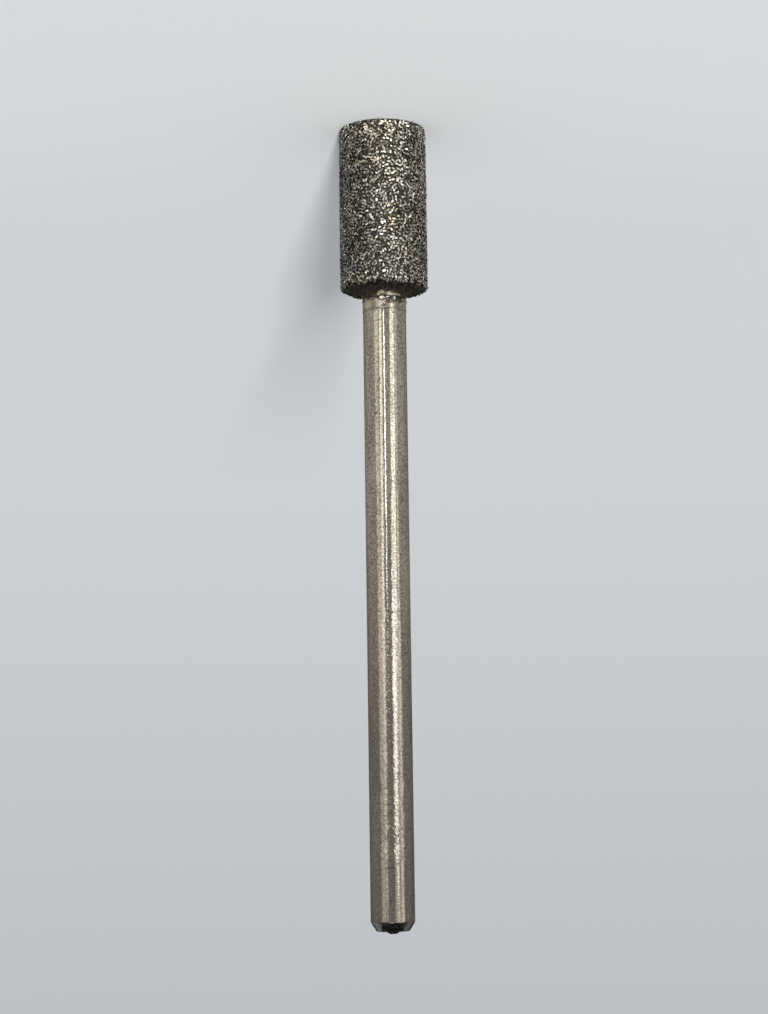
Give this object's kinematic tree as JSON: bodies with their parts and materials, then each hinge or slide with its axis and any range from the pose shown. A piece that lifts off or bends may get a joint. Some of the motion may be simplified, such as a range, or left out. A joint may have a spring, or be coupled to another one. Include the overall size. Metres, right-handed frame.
{
  "type": "dental bur",
  "caption": "Straight-shank handpiece bur with a cylindrical diamond-grit head, a smooth round shank and a chamfered end.",
  "frame": {"origin": "centre of the head's flat end, in the plane of its grain tips, on which the bur stands", "axes": "+Z along the bur's axis, from the head's end towards the shank's chamfered end"},
  "size_m": [0.0048, 0.0048, 0.0434],
  "materials": {
    "steel": "satin",
    "diamond_grit": "matte"
  },
  "bodies": {
    "root": {"shank_blank": "steel", "diamond_coat": "diamond_grit"}
  },
  "joints": []
}
